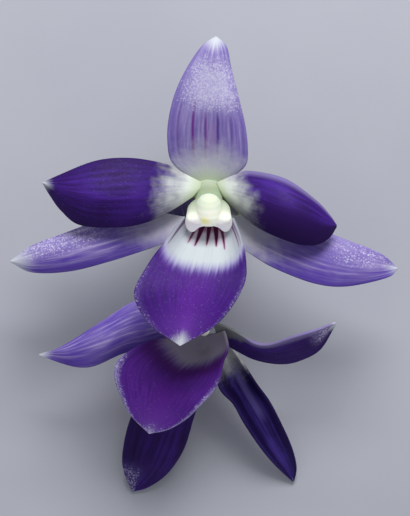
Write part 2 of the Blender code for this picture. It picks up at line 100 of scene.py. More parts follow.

# %% [markdown]
# ## Colours
# Screens show colours on a curve, and a shader counts light in a straight line. A judged colour is therefore
# written with its screen values from 0 to 255 and turned into light here.

# %% Colours of the spray
def screen(red, green, blue):
    """Linear colour from screen values 0 to 255."""
    def line(value):
        value = value / 255
        return value / 12.92 if value <= 0.04045 else ((value + 0.055) / 1.055) ** 2.4
    return (line(red), line(green), line(blue), 1.0)


PETAL_VIOLET = screen(70, 34, 140)
PETAL_DARK = screen(42, 14, 82)
SEPAL_LAVENDER = screen(134, 116, 186)
SEPAL_VIOLET = screen(88, 62, 164)
PALE_STREAK = screen(186, 176, 216)
# bright colour of glittering cells: painted glints
GLINT_WHITE = screen(234, 230, 250)
LIP_PURPLE = screen(78, 20, 138)
LIP_DARK = screen(50, 14, 102)
LIP_MAGENTA = screen(104, 22, 160)
THROAT_WHITE = screen(222, 228, 232)
HEART_GREEN = screen(196, 210, 172)
NECK_GREEN = screen(160, 176, 144)
VEIN_MAGENTA = screen(112, 36, 140)
STRIPE_MAROON = screen(66, 2, 46)
VEIN_GREY = screen(84, 60, 92)
CREAM = screen(208, 216, 194)
# near white cream for the hood's shaded lower side: painted light
CREAM_SHADE_LIFT = screen(246, 249, 232)
LOBE_LILAC = screen(228, 225, 231)
LIP_WHITE = screen(198, 206, 208)
LIP_SIDE_GREY = screen(150, 154, 166)
YELLOW_SPOT = screen(236, 232, 142)
STALK_GREEN = screen(128, 142, 74)
STALK_DULL = screen(96, 104, 58)
BRACT_TAN = screen(176, 156, 112)
print("petal violet as light:", [round(v, 3) for v in PETAL_VIOLET[:3]])

# %% [markdown]
# ## Shader maths as sums
# A material's pattern is arithmetic on places. The class below wraps one output of a node, so that a sum or
# a product in Python adds the matching Math node, and a whole pattern reads as a formula. Any other node is
# added by one function, which sets the node's settings first and then fills or links its sockets.

# %% Socket arithmetic
def add_node(tree, kind, settings=None, sockets=None):
    """Add any node: settings first, then values or links for its sockets, named or numbered."""
    node = tree.nodes.new(kind)
    for key, value in (settings or {}).items():
        setattr(node, key, value)
    for key, value in (sockets or {}).items():
        if isinstance(value, Value):
            tree.links.new(value.socket, node.inputs[key])
        else:
            node.inputs[key].default_value = value
    return node


class Value:
    """One output of a node, with arithmetic."""

    def __init__(self, tree, socket):
        self.tree = tree
        self.socket = socket

    def math(self, operation, *others):
        """A Math node of this value and others."""
        return Value(self.tree, add_node(self.tree, "ShaderNodeMath", {"operation": operation},
                                         dict(enumerate((self,) + others))).outputs[0])

    def __add__(self, other):
        return self.math("ADD", other)

    __radd__ = __add__

    def __mul__(self, other):
        return self.math("MULTIPLY", other)

    __rmul__ = __mul__

    def __sub__(self, other):
        return self.math("SUBTRACT", other)

    def __rsub__(self, other):
        return (self * -1.0) + other

    def __pow__(self, other):
        return self.math("POWER", other)

    def __abs__(self):
        return self.math("ABSOLUTE")

    def clip(self):
        """Held between 0 and 1."""
        return self.math("MAXIMUM", 0.0).math("MINIMUM", 1.0)

    def rise(self, low, high):
        """0 at low and 1 at high, with soft ends; low may lie above high."""
        turned = low > high
        node = add_node(self.tree, "ShaderNodeMapRange", {"interpolation_type": "SMOOTHSTEP"},
                        {"Value": self, "From Min": min(low, high), "From Max": max(low, high),
                         "To Min": 1.0 if turned else 0.0, "To Max": 0.0 if turned else 1.0})
        return Value(self.tree, node.outputs["Result"])


class Recipe:
    """A new material whose nodes are added one by one."""

    def __init__(self, name):
        self.material = bpy.data.materials.new(name)
        self.material.use_nodes = True
        self.tree = self.material.node_tree
        self.shader = self.tree.nodes["Principled BSDF"]

    def node(self, kind, output, settings=None, sockets=None):
        """One output of a new node as a Value."""
        return Value(self.tree, add_node(self.tree, kind, settings, sockets).outputs[output])

    def place(self):
        """Object coordinates, in metres."""
        return self.node("ShaderNodeTexCoord", "Object")

    def part_of(self, vector, axis):
        """X, Y or Z of a vector."""
        return self.node("ShaderNodeSeparateXYZ", axis, None, {"Vector": vector})

    def blade_place(self):
        """Across (0 to 1) and along (0 at the base, 1 at the tip) on a blade's own map."""
        spot = self.node("ShaderNodeUVMap", "UV", {"uv_map": "BladeMap"})
        return self.part_of(spot, "X"), self.part_of(spot, "Y")

    def noise(self, scale, detail=2.0, roughness=0.5, vector=None):
        """Noise from 0 to 1 at a scale per metre."""
        return self.node("ShaderNodeTexNoise", "Fac", None, {
            "Vector": vector or self.place(), "Scale": scale, "Detail": detail, "Roughness": roughness})

    def long_streaks(self, s, t, count, stretch, seed, roughness=0.6):
        """Noise drawn out along a blade: count streaks across, stretched lengthwise."""
        vector = self.node("ShaderNodeCombineXYZ", "Vector", None,
                           {"X": s * float(count), "Y": t * float(stretch), "Z": float(seed)})
        return self.noise(1.0, 3.0, roughness, vector)

    def cells(self, scale):
        """Skin cells: a random number for each, and the distance to its middle."""
        sockets = {"Vector": self.place(), "Scale": scale}
        tint = self.node("ShaderNodeTexVoronoi", "Color", {"feature": "F1"}, sockets)
        dome = self.node("ShaderNodeTexVoronoi", "Distance", {"feature": "F1"}, sockets)
        return self.part_of(tint, "X"), self.part_of(tint, "Y"), dome

    def mix(self, amount, first, second):
        """Colour mix: first where amount is 0, second where it is 1."""
        return self.node("ShaderNodeMix", 2, {"data_type": "RGBA"}, {0: amount, 6: first, 7: second})

    def finish(self, colour, roughness, height=None, depth=0.00003, strength=1.0, **constants):
        """Feed the shader: colour, roughness, a bump, and what is the same all over."""
        sockets = {"Base Color": colour, "Roughness": roughness}
        if height is not None:
            sockets["Normal"] = self.node("ShaderNodeBump", "Normal", None,
                                          {"Height": height, "Distance": depth, "Strength": strength})
        for name, value in constants.items():
            sockets[name.replace("_", " ")] = value
        for name, value in sockets.items():
            if isinstance(value, Value):
                self.tree.links.new(value.socket, self.shader.inputs[name])
            else:
                self.shader.inputs[name].default_value = value
        return self.material


print("recipe tools ready")

# %% [markdown]
# ## Where every blade runs
# A petal, a sepal or the lip is a curved sheet between two edges. Each is given by three curves: one edge, the
# midrib and the other edge, from base to tip. Every point was picked in the photograph: pixels across, pixels
# down, and a height above the table in millimetres, judged from shading and overlaps. The camera's measures
# turn a point into its place in the frame, because what lies nearer to the lens looks larger.

# %% Guide curves
CAMERA_PLACE = (0.105, 1.585, 267.0)
FOCAL_PIXELS = 2381.0
PHOTO_MIDDLE = (205, 258)


def from_photo(across, down, height):
    """Place in mm of a point of the photo (pixels) that lies at a height above the table (mm)."""
    spread = (CAMERA_PLACE[2] - height) / FOCAL_PIXELS
    return (CAMERA_PLACE[0] + (across - PHOTO_MIDDLE[0]) * spread,
            CAMERA_PLACE[1] + (PHOTO_MIDDLE[1] - down) * spread, height)


PHOTO_GUIDES = {
    "upper_dorsal_sepal": (
        [(204, 185, 13.2), (187, 176, 13.9), (171, 162, 15), (167, 142, 16.2), (168, 120, 17.2),
         (174, 94, 18.2), (186, 68, 19), (202, 45, 19.6), (216, 36, 19.9)],
        [(209, 185, 13.2), (208, 165, 14.6), (207.5, 140, 16.4), (208, 110, 18.2), (210, 80, 19.4),
         (213, 55, 20.2), (216, 36, 20)],
        [(214, 185, 13.2), (231, 178, 13.9), (246, 166, 15), (248, 150, 15.9), (246, 127, 17),
         (240, 100, 18.1), (232, 68, 19.1), (227, 46, 19.6), (216, 36, 19.9)],
    ),
    "upper_petal_left": (
        [(203, 182.5, 14.3), (181, 171, 15), (165, 163, 15.4), (130, 157, 16.3), (95, 160, 16.6),
         (60, 174, 16.2), (42, 182.5, 15.4)],
        [(201.5, 188.5, 14.5), (170, 193, 15.9), (140, 197, 17.3), (100, 198, 17.9), (70, 194, 17.3),
         (42, 182.5, 15.6)],
        [(194.5, 196, 14.65), (173.5, 210, 15.2), (150, 222, 15.7), (120, 228, 15.9), (80, 226, 15.6),
         (60, 211, 15.6), (49, 195, 15.5), (42, 182.5, 15.4)],
    ),
    "upper_petal_right": (
        [(215.5, 182.5, 14.3), (235, 174, 15.1), (250, 170, 15.5), (286, 178, 16.6), (316, 199, 16.4),
         (330, 214, 15.7), (337, 225, 14.9)],
        [(218, 189.5, 14.5), (250, 199, 16.6), (282, 210, 17.9), (310, 220, 17.5), (327, 226, 16.2),
         (337, 226, 15)],
        [(225.5, 200, 14.5), (243, 217.5, 15.1), (264, 232, 15.7), (294, 244, 15.9), (314, 246, 15.6),
         (329, 239, 15.1), (337, 227, 14.9)],
    ),
    "upper_lateral_sepal_left": (
        [(197, 219, 13), (150, 212, 13.2), (100, 220, 13.4), (60, 234, 13.5), (30, 246, 13.2),
         (10, 261, 12.4)],
        [(197, 226, 12.9), (150, 230, 13.6), (100, 243, 14.2), (60, 253, 14.2), (30, 259, 13.6),
         (10, 261.5, 12.5)],
        [(197, 233, 13), (165, 243, 13.2), (150, 249, 13.3), (110, 262, 13.4), (70, 272, 13.4),
         (32, 273, 13), (10, 262, 12.4)],
    ),
    "upper_lateral_sepal_right": (
        [(221, 219, 13), (262, 212, 13.1), (300, 221, 13.1), (333, 234, 13.2), (351, 241, 13.3),
         (381, 253, 13.1), (398, 268, 12.4)],
        [(221, 226, 12.9), (262, 234, 13.4), (300, 248, 13.8), (340, 262, 14.1), (370, 267, 13.7),
         (398, 268.5, 12.5)],
        [(221, 233, 13), (250, 254, 13.2), (275, 269, 13.3), (314, 284, 13.6), (347, 287, 13.6),
         (387, 278, 13), (398, 269, 12.4)],
    ),
    "upper_lip": (
        [(185, 216, 15.9), (168, 238, 17), (149, 262, 18.6), (134, 289, 19.8), (139, 310, 20),
         (154, 329, 19.8), (180, 346, 19.4)],
        [(209, 224, 13.7), (206, 245, 16), (200, 270, 18.6), (192, 300, 19.7), (185, 325, 19.8),
         (180, 346, 19.4)],
        [(232, 217, 15.9), (241, 238, 17), (246, 262, 18.4), (245, 282, 19.4), (232, 307, 19.9),
         (212, 329, 19.7), (180, 346, 19.4)],
    ),
    "lower_dorsal_sepal": (
        [(198, 301, 8.9), (186, 286, 8), (176, 262, 6.9), (169, 232, 5.9), (167, 205, 5.2),
         (174, 178, 4.6)],
        [(204, 300, 8.9), (203, 278, 8.1), (199, 248, 6.9), (189, 213, 5.7), (174, 178, 4.7)],
        [(210, 301, 8.9), (224, 285, 7.8), (226, 262, 6.6), (216, 232, 5.7), (198, 204, 5.1),
         (174, 178, 4.6)],
    ),
    "lower_petal_left": (
        [(181.5, 310.5, 9.4), (168, 304, 10.2), (150, 299, 10.8), (133, 301, 11.1), (105, 318, 11.5),
         (70, 341, 11.3), (51, 351, 10.9), (39, 354, 10.4)],
        [(181.5, 319, 9.3), (160, 322, 10.8), (130, 329, 11.8), (100, 342, 12.2), (70, 352, 11.6),
         (54, 353.5, 10.95), (39, 354.5, 10.4)],
        [(181.5, 328.5, 9.3), (168, 341, 10), (145, 350, 10.3), (124, 354, 10.6), (97, 366, 10.8),
         (80, 368, 10.8), (62, 364, 10.7), (39, 355, 10.4)],
    ),
    "lower_petal_right": (
        [(211, 323, 10.6), (226, 327.5, 10.9), (241, 335.5, 11.6), (254, 343.5, 12.6), (270, 345, 13.3),
         (295, 337, 14.2), (318, 330, 14), (336, 323, 13.2)],
        [(214, 331, 9.6), (235, 343.5, 9.9), (262, 354, 11.2), (290, 351, 12.2), (315, 341, 12.9),
         (336, 324, 13.1)],
        [(215, 337, 9.1), (224, 344, 8.7), (237, 352, 8.5), (256, 361, 8.6), (279, 365, 9.2),
         (301, 361, 10.2), (321, 350, 11.4), (336, 325, 13)],
    ),
    "lower_lateral_sepal_left": (
        [(191, 327, 7.4), (166, 358, 6.9), (143, 392, 6), (129, 420, 4.9), (122, 451, 3.4),
         (123, 471, 1.9), (132, 492, 0.4)],
        [(198, 329, 7.2), (184, 370, 7.4), (170, 400, 7), (158, 430, 5.9), (148, 458, 4.3),
         (140, 478, 2), (132, 492, 0.4)],
        [(202, 331, 7.4), (202, 350, 7.3), (203, 375, 7), (200, 400, 6.2), (194, 420, 5.2),
         (184, 451, 3.6), (167, 475, 2), (148, 488, 0.8), (132, 492, 0.4)],
    ),
    "lower_lateral_sepal_right": (
        [(213, 334, 7.1), (215, 350, 7), (217, 368, 7), (221, 389, 7.2), (235, 403, 7), (246, 423, 6),
         (262, 447, 4.2), (277, 466, 2.2), (294, 482, 0.45)],
        [(215, 335, 6.7), (229, 363, 5.5), (242, 389, 4.7), (256, 413, 4), (270, 438, 3),
         (284, 461, 1.7), (294, 482, 0.45)],
        [(222, 338, 6.9), (235, 353, 6.6), (245, 369, 6.4), (256, 386, 6.1), (269, 403, 5.5),
         (282, 428, 4.3), (291, 448, 3.2), (296, 468, 1.7), (294, 482, 0.45)],
    ),
    "lower_lip": (
        [(176, 337, 11.4), (169, 342, 12.4), (158, 341, 13.2), (140, 346, 13.8), (120, 359, 14),
         (114, 376, 13.6), (121, 398, 12.4), (131, 417, 11.2), (149, 434, 9.8)],
        [(206, 334, 9.2), (204, 347, 9.3), (194, 356, 10.4), (177, 372, 11.6), (165, 396, 11.6),
         (155, 418, 10.8), (149, 434, 9.8)],
        [(223, 330.5, 11.2), (226, 341, 11.8), (227, 350, 12.4), (222, 362, 13.2), (219, 378, 13.4),
         (213, 392, 13), (199, 407, 12.4), (186, 420, 11.4), (168, 430, 10.5), (149, 434, 9.8)],
    ),
}
BLADE_GUIDES = {name: [[from_photo(*point) for point in curve] for curve in curves]
                for name, curves in PHOTO_GUIDES.items()}
print("blades:", len(BLADE_GUIDES))

# %% [markdown]
# ## Growing a blade
# A blade starts as a flat grid, one primitive, whose rows run along the petal. Every point of the grid is
# then moved onto the sheet between the guide curves. Veins are raised as real relief, the margin gets a
# gentle wave, and a Solidify modifier gives the flesh, thinner towards the margin. A last subdivision
# rounds the cut edge.

# %% Curve helpers
def spline_point(points, t):
    """Point of a Catmull-Rom curve, t from 0 to the number of spans."""
    last = len(points) - 1
    i = min(int(t), last - 1)
    f = t - i
    p1, p2 = points[i], points[i + 1]
    p0 = points[i - 1] if i > 0 else p1 * 2 - p2
    p3 = points[i + 2] if i + 2 <= last else p2 * 2 - p1
    b = (p2 - p0) * f
    c = (p0 * 2 - p1 * 5 + p2 * 4 - p3) * f * f
    d = (p1 * 3 - p0 - p2 * 3 + p3) * f * f * f
    return (p1 * 2 + b + c + d) * 0.5


def along_curve(raw, fractions):
    """Points of the smooth curve at the given rising fractions of its length."""
    points = [Vector(p) for p in raw]
    steps = 40
    dense = [spline_point(points, i / steps) for i in range((len(points) - 1) * steps + 1)]
    lengths = [0.0]
    for a, b in zip(dense, dense[1:]):
        lengths.append(lengths[-1] + (b - a).length)
    result = []
    i = 0
    for fraction in fractions:
        target = fraction * lengths[-1]
        while i < len(lengths) - 2 and lengths[i + 1] < target:
            i += 1
        span = max(lengths[i + 1] - lengths[i], 1e-9)
        result.append(dense[i].lerp(dense[i + 1], min(max((target - lengths[i]) / span, 0.0), 1.0)))
    return result


def ripple(x, seed):
    """A smooth repeatable ripple between -1 and 1."""
    return 0.6 * math.sin(x * 5.1 + seed * 1.7) + 0.4 * math.sin(x * 11.3 + seed * 2.9)


# %% [markdown]
# One function grows every blade. Its rows run along the blade and are crowded towards the tip, where the
# outline turns fastest, and its columns run across.

# %% Blade grower
BLADE_ROWS = 56
BLADE_COLUMNS = 26
TIP_CROWDING = 1.35
FLESH = 0.7


def shape_blade(blade, curves, fold, veins, vein_rise, wave, seed, upright=True):
    """Move the grid onto the sheet between the curves; gives each point's place across and along."""
    rows = sorted({round(v.co.y, 5) for v in blade.data.vertices})
    row_of = {y: i for i, y in enumerate(rows)}
    fractions = [1 - (1 - (y + 1) / 2) ** TIP_CROWDING for y in rows]
    edge_a, midrib, edge_b = (along_curve(curve, fractions) for curve in curves)
    places = {}
    for vertex in blade.data.vertices:
        i = row_of[round(vertex.co.y, 5)]
        s, t = vertex.co.x, fractions[i]
        a, m, b = edge_a[i], midrib[i], edge_b[i]
        point = m + (b - a) * (s / 2) + ((a + b) / 2 - m) * abs(s) ** fold
        along = midrib[min(i + 1, len(rows) - 1)] - midrib[max(i - 1, 0)]
        normal = along.cross(b - a)
        normal = normal.normalized() if normal.length > 1e-6 else Vector((0, 0, 1))
        if upright and normal.z < 0:
            normal.negate()
        body = math.sin(math.pi * min(max(t, 0.0), 1.0)) ** 0.7
        ridge = abs(math.cos(math.pi * (s * 0.92 + 1) / 2 * veins)) ** 6
        rise = vein_rise * (ridge - 0.3) * body * (1 - 0.5 * abs(s))
        rise += wave * ripple(t * 2 + (0.8 if s > 0 else 0), seed) * abs(s) ** 3 * body
        places[vertex.index] = (s, t)
        vertex.co = (point + normal * rise) * MM
    return places


def grow_blade(name, fold=2.0, veins=7, vein_rise=0.02, wave=0.06, rim=0.45, seed=0, curves=None,
               thickness=FLESH):
    """A petal, sepal, lip or bract: shaped grid, own map, flesh and a rounded rim."""
    bpy.ops.object.select_all(action="DESELECT")
    bpy.ops.mesh.primitive_grid_add(x_subdivisions=BLADE_COLUMNS, y_subdivisions=BLADE_ROWS, size=2,
                                    calc_uvs=True)
    blade = bpy.context.object
    blade.name = blade.data.name = "fine_" + name
    places = shape_blade(blade, curves or BLADE_GUIDES[name], fold, veins, vein_rise, wave, seed,
                         upright=curves is None)
    map_layer = blade.data.uv_layers[0]
    map_layer.name = "BladeMap"
    for loop in blade.data.loops:
        s, t = places[loop.vertex_index]
        map_layer.data[loop.index].uv = ((s + 1) / 2, t)
    flesh = blade.vertex_groups.new(name="flesh")
    for index, (s, t) in places.items():
        thick = 1 - (1 - rim) * abs(s) ** 3
        flesh.add([index], thick * (1 - 0.65 * t ** 10), "REPLACE")
    edit_all(blade)
    bpy.ops.mesh.remove_doubles(threshold=0.000001)
    bpy.ops.mesh.normals_make_consistent(inside=False)
    edit_done()
    facing = sum((polygon.normal * polygon.area for polygon in blade.data.polygons), Vector())
    if curves is None and facing.z < 0:
        edit_all(blade)
        bpy.ops.mesh.flip_normals()
        edit_done()
    solid = blade.modifiers.new("flesh", "SOLIDIFY")
    solid.thickness = thickness * MM
    solid.offset = -1
    solid.vertex_group = "flesh"
    round_rim = blade.modifiers.new("round rim", "SUBSURF")
    round_rim.levels = round_rim.render_levels = 1
    apply_all(blade)
    blade.vertex_groups.clear()
    return smooth(blade)


print("blade grower ready:", BLADE_ROWS, "rows of", BLADE_COLUMNS)

# %% [markdown]
# ## The skin of the sepals and petals
# The real skin is covered in tiny bright cells that glitter like frost; here that glitter is painted glints
# and sheen. The veins run from base to tip, the base pales to greenish white and the tip ends in a white
# point. All of it follows the blade's own map, so that the veins bend with the petal. A patch of painted sheen
# is made like a dither: each skin cell has a random number, and the stronger the sheen at its place, the more
# cells turn bright. One side of a blade can be darkened with painted shade, one edge lightened with a painted
# highlight, and one side of the root painted grey as shade.

# %% Skin recipe
def skin(name, body, shade, pale=PALE_STREAK, streak=(46, 5), streak_amount=0.0, shaded_side=(0.5, 1.0, 0.0),
         margin_dark=0.3, margin_from=0.6, veins=(), sheen_patch=(0.5, 0.5, 0.1, 0.1, 0.0), painted_glints=0.0,
         painted_lit_rim=(0.0, 0.0), base=(0.2, 0.08), slant=0.0, base_colour=THROAT_WHITE,
         base_shade=(0.0, THROAT_WHITE), heart=0.1, tip=(0.95, 0.03), seed=0.0):
    """Material of a petal or sepal; places are across (0 to 1) and along (0 at the base)."""
    recipe = Recipe(name)
    s, t = recipe.blade_place()
    middle = abs(s * 2.0 - 1.0)
    drift = recipe.noise(260.0, 3.0)
    streaks = recipe.long_streaks(s, t, *streak, seed)
    colour = recipe.mix((streaks * 0.8 + drift * 0.5 - 0.15).rise(0.28, 0.72), shade, body)
    colour = recipe.mix(streaks.rise(0.48, 0.75) * streak_amount, colour, pale)
    # painted shade: the half of the blade turned from the light is darkened
    colour = recipe.mix(s.rise(*shaded_side[:2]) * shaded_side[2], colour, shade)
    colour = recipe.mix(middle.rise(margin_from, 1.0) * margin_dark, colour, shade)
    # painted highlight: a lighter band along one edge, where that edge catches the light
    colour = recipe.mix(s.rise(painted_lit_rim[0], painted_lit_rim[0] * 0.2) * painted_lit_rim[1], colour, pale)
    for centre, width, start, end, amount, vein_colour in veins:
        line = abs(s - centre + (drift - 0.5) * 0.02).rise(width, width * 0.1)
        line = line * t.rise(start - 0.05, start + 0.05) * t.rise(end + 0.08, end - 0.04)
        colour = recipe.mix(line * (streaks * 0.6 + 0.6) * amount, colour, vein_colour)
    bright, tint, dome = recipe.cells(8000.0)
    # painted sheen and glints: a pale patch where the blade catches the light, and bright cells for the
    # glitter of the skin
    across, along, reach_s, reach_t, amount = sheen_patch
    patch = abs(s - across).rise(reach_s, reach_s * 0.25) * abs(t - along).rise(reach_t, reach_t * 0.25)
    glint_colour = recipe.mix(tint, pale, GLINT_WHITE)
    colour = recipe.mix((patch * amount * 0.5).clip(), colour, pale)
    lit = (patch * amount * 0.85 + painted_glints + bright - 1.0).rise(0.0, 0.5)
    colour = recipe.mix(lit * 0.7, colour, glint_colour)
    ragged = (streaks - 0.5) * 0.12 + (recipe.noise(900.0, 3.0) - 0.5) * 0.2 + s * slant
    fade = (t + ragged + middle * middle * 0.05).rise(base[0] + base[1], base[0] - base[1])
    # painted shade: one side of the root is greyed where it lies in shade
    root_colour = recipe.mix(s.rise(0.45, 0.95) * base_shade[0], base_colour, base_shade[1])
    colour = recipe.mix(fade, colour, root_colour)
    colour = recipe.mix(t.rise(heart, 0.0) * 0.9, colour, HEART_GREEN)
    point = (t - middle * 0.03 + (streaks - 0.5) * 0.12).rise(tip[0] - tip[1], tip[0] + tip[1])
    colour = recipe.mix(point * 0.9, colour, THROAT_WHITE)
    height = dome * 0.4 + streaks * 0.8 + drift * 0.5
    return recipe.finish(colour, 0.5 + (1.0 - bright) * 0.15, height, 0.00003, 0.5,
                         Specular_IOR_Level=0.14)


# %% [markdown]
# ## The lip
# The lip is the broad lower petal that an insect lands on. Its throat is white, with maroon lines that lead in
# under the column, and the white ends in a fringe of short strokes where the purple begins. A faint magenta
# band runs down the middle. The rim and tip are paler and carry painted glints, and a painted shadow of the
# hood darkens the top of the throat.

# %% Lip recipe
LIP_LINES = [
    (0.045, 0.020, 0.026, 0.225, 0.85, 0.1, VEIN_GREY),
    (0.165, 0.060, 0.016, 0.160, 0.35, 0.3, VEIN_GREY),
    (0.285, -0.080, 0.038, 0.205, 0.90, 1.0, STRIPE_MAROON),
    (0.385, -0.080, 0.056, 0.235, 1.00, 1.0, STRIPE_MAROON),
    (0.515, -0.040, 0.050, 0.220, 1.00, 1.0, STRIPE_MAROON),
    (0.640, -0.040, 0.058, 0.230, 1.00, 1.0, STRIPE_MAROON),
    (0.735, 0.020, 0.038, 0.250, 0.95, 1.0, STRIPE_MAROON),
    (0.930, 0.040, 0.020, 0.220, 0.85, 0.2, VEIN_GREY),
    (0.968, 0.030, 0.013, 0.195, 0.65, 0.1, VEIN_GREY),
]


def lip_skin(name, white_end, white_climb, bow, body, shade, throat=LIP_WHITE, lined=1.0, rim_pale_glints=0.2,
             tip_start=0.93, fold_shade=0.0, seed=0.0):
    """Material of a lip: lined white throat, fringed boundary, purple blade, paler rim with painted glints,
    painted shadow under the hood and along the fold.
    """
    recipe = Recipe(name)
    s, t = recipe.blade_place()
    middle = abs(s * 2.0 - 1.0)
    drift = recipe.noise(240.0, 3.0)
    streaks = recipe.long_streaks(s, t, 60, 4, seed, 0.65)
    colour = recipe.mix((streaks * 0.8 + drift * 0.5 - 0.15).rise(0.3, 0.75), shade, body)
    band = middle.rise(0.55, 0.0) * t.rise(0.4, 0.6) * (streaks * 0.8 + 0.3)
    colour = recipe.mix(band.clip() * 0.5, colour, LIP_MAGENTA)
    colour = recipe.mix(middle.rise(0.6, 1.0) * 0.5, colour, shade)
    colour = recipe.mix(t.rise(0.62, 0.95) * (0.7 - middle * 0.4), colour, screen(124, 70, 184))
    bright, tint, dome = recipe.cells(9500.0)
    # the rim and tip are paler lavender, and painted glints stand for the glitter of their cells
    rim = (middle.rise(0.86, 1.0) * t.rise(0.3, 0.5) + t.rise(0.86, 1.02)).clip()
    colour = recipe.mix(rim * rim_pale_glints, colour, SEPAL_LAVENDER)
    lit = (rim * rim_pale_glints * 1.4 + t * 0.12 + bright - 1.0).rise(0.0, 0.3)
    colour = recipe.mix(lit * 0.5, colour, recipe.mix(tint, SEPAL_LAVENDER, GLINT_WHITE))
    climb = middle ** bow
    strokes = recipe.long_streaks(s, t, 34, 2.5, seed + 5.0, 0.55)
    into = t - white_end + climb * white_climb + (strokes - 0.5) * 0.1
    colour = recipe.mix(into.rise(0.07, -0.05), colour, SEPAL_LAVENDER)
    colour = recipe.mix(into.rise(0.035, -0.09), colour, throat)
    greyed = middle.rise(0.3, 1.0) * 0.75 + t.rise(0.24, 0.0) * 0.3 + strokes.rise(0.45, 0.75) * 0.16
    colour = recipe.mix(greyed.clip() * into.rise(0.0, -0.06) * lined, colour, LIP_SIDE_GREY)
    # painted shadow: the hood's shadow darkens the top of the throat between the lines
    hood_shadow = t.rise(0.11, 0.05) * middle.rise(0.75, 0.45) * lined
    colour = recipe.mix(hood_shadow * 0.85, colour, screen(58, 16, 46))
    for centre, lean, width, end, strength, halo_strength, ink in LIP_LINES:
        away = abs(s - centre - t * lean + (drift - 0.5) * 0.012)
        taper = (1.0 - t * (0.95 / end)) * width
        reach = t.rise(end + 0.004, end - 0.02) * lined
        halo = (away - taper).rise(0.032, 0.0) * reach
        colour = recipe.mix(halo * strength * halo_strength * 0.6, colour, screen(204, 134, 184))
        colour = recipe.mix((away - taper).rise(0.009, -0.008) * reach * strength, colour, ink)
    # painted shadow along the line where the blade folds
    colour = recipe.mix(abs(into - 0.03).rise(0.14, 0.0) * fold_shade, colour, screen(66, 12, 92))
    tip = (t - middle * 0.04 + (streaks - 0.5) * 0.1).rise(tip_start, tip_start + 0.1)
    colour = recipe.mix(tip * 0.9, colour, THROAT_WHITE)
    height = dome * 0.4 + streaks * 0.9
    return recipe.finish(colour, 0.46 + (1.0 - bright) * 0.15, height, 0.00003, 0.5,
                         Specular_IOR_Level=0.14)


# %% [markdown]
# ## Dorsal sepals
# The dorsal sepal stands up behind the bloom. Its upper half gets a painted white sheen with glints where it
# catches the light, five to seven magenta veins run up its lower half, and its thick tip is white.

# %% Dorsal sepals
DORSAL_VEINS = [
    (0.07, 0.03, 0.15, 0.6, 0.4, SEPAL_VIOLET),
    (0.13, 0.03, 0.2, 0.6, 0.6, screen(84, 50, 144)),
    (0.317, 0.03, 0.2, 0.62, 1.0, VEIN_MAGENTA),
    (0.475, 0.026, 0.18, 0.48, 0.9, VEIN_MAGENTA),
    (0.55, 0.10, 0.22, 0.42, 0.45, screen(168, 128, 190)),
    (0.63, 0.03, 0.2, 0.5, 0.9, screen(76, 36, 140)),
    (0.80, 0.03, 0.2, 0.5, 0.5, screen(84, 56, 150)),
    (0.945, 0.03, 0.2, 0.5, 0.4, SEPAL_VIOLET),
]
for bloom, body, shade, sheen_amount, seed in (
        ("upper", screen(160, 144, 206), screen(124, 106, 182), 1.2, 1),
        # painted shade: the lower dorsal sepal lies under the upper bloom, so it is painted dark and gets no
        # sheen
        ("lower", screen(60, 50, 92), screen(36, 28, 62), 0.0, 2)):
    name = bloom + "_dorsal_sepal"
    dorsal = grow_blade(name, veins=9, seed=seed)
    dorsal.data.materials.append(skin(
        name + "_skin", body, shade, pale=screen(190, 184, 228), streak=(30, 4),
        streak_amount=0.45 if bloom == "upper" else 0.1, margin_dark=0.7, margin_from=0.76,
        veins=DORSAL_VEINS, sheen_patch=(0.55, 0.7, 0.62, 0.23, sheen_amount),
        painted_glints=0.1 if bloom == "upper" else 0.0, base=(0.24, 0.15), base_colour=screen(214, 214, 226),
        heart=0.17, tip=(0.92, 0.05), seed=seed))
    settle(dorsal, "sepal", name)

# %% [markdown]
# ## Petals
# The two petals spread to the sides. Each is folded along its midrib: the upper half catches the light, and
# the lower half is darkened with painted shade. Their bases are greenish white, with a ragged edge of violet
# strokes; the lower side of a base is painted grey as shade, and the right petal's upper edge gets a painted
# highlight.

# %% Petals
BASE_CREAM = screen(226, 232, 224)
# grey for the shaded side of a petal's root: painted shade
BASE_SHADE_GREY = screen(122, 126, 126)
PETALS = {
    "upper_petal_left": (dict(fold=1.6, veins=11, seed=3, wave=0.1), dict(
        streak=(22, 3), shaded_side=(0.45, 0.6, 0.4), margin_dark=0.7, margin_from=0.45, painted_glints=0.06,
        base=(0.21, 0.16), base_colour=BASE_CREAM, base_shade=(0.5, BASE_SHADE_GREY), heart=0.12, tip=(0.95, 0.05))),
    "upper_petal_right": (dict(fold=2.0, veins=11, seed=4, wave=0.08), dict(
        streak=(22, 3), shaded_side=(0.3, 0.6, 1.0), margin_dark=0.1, painted_lit_rim=(0.12, 0.35), painted_glints=0.03,
        base=(0.16, 0.14), slant=-0.14, base_colour=BASE_CREAM, base_shade=(0.85, BASE_SHADE_GREY), heart=0.12,
        tip=(1.2, 0.02))),
    "lower_petal_left": (dict(fold=2.0, veins=9, seed=5, wave=0.1), dict(
        streak=(16, 3), streak_amount=0.55, shaded_side=(0.6, 0.85, 0.5), margin_dark=0.25, painted_glints=0.02,
        sheen_patch=(0.3, 0.6, 0.4, 0.5, 0.08), base=(0.05, 0.06), heart=0.0, tip=(0.93, 0.05))),
    # painted shade: the lower right petal's root is painted grey where it lies in shade under the upper bloom,
    # and its upper edge gets a painted highlight
    "lower_petal_right": (dict(fold=2.0, veins=9, seed=6, wave=0.06), dict(
        streak=(20, 3), shaded_side=(0.3, 0.6, 0.5), margin_dark=0.1, painted_lit_rim=(0.25, 0.4), painted_glints=0.04,
        sheen_patch=(0.4, 0.92, 0.5, 0.18, 0.6), base=(0.36, 0.07), slant=0.6, base_colour=screen(128, 130, 132),
        heart=0.02, tip=(0.95, 0.04))),
}
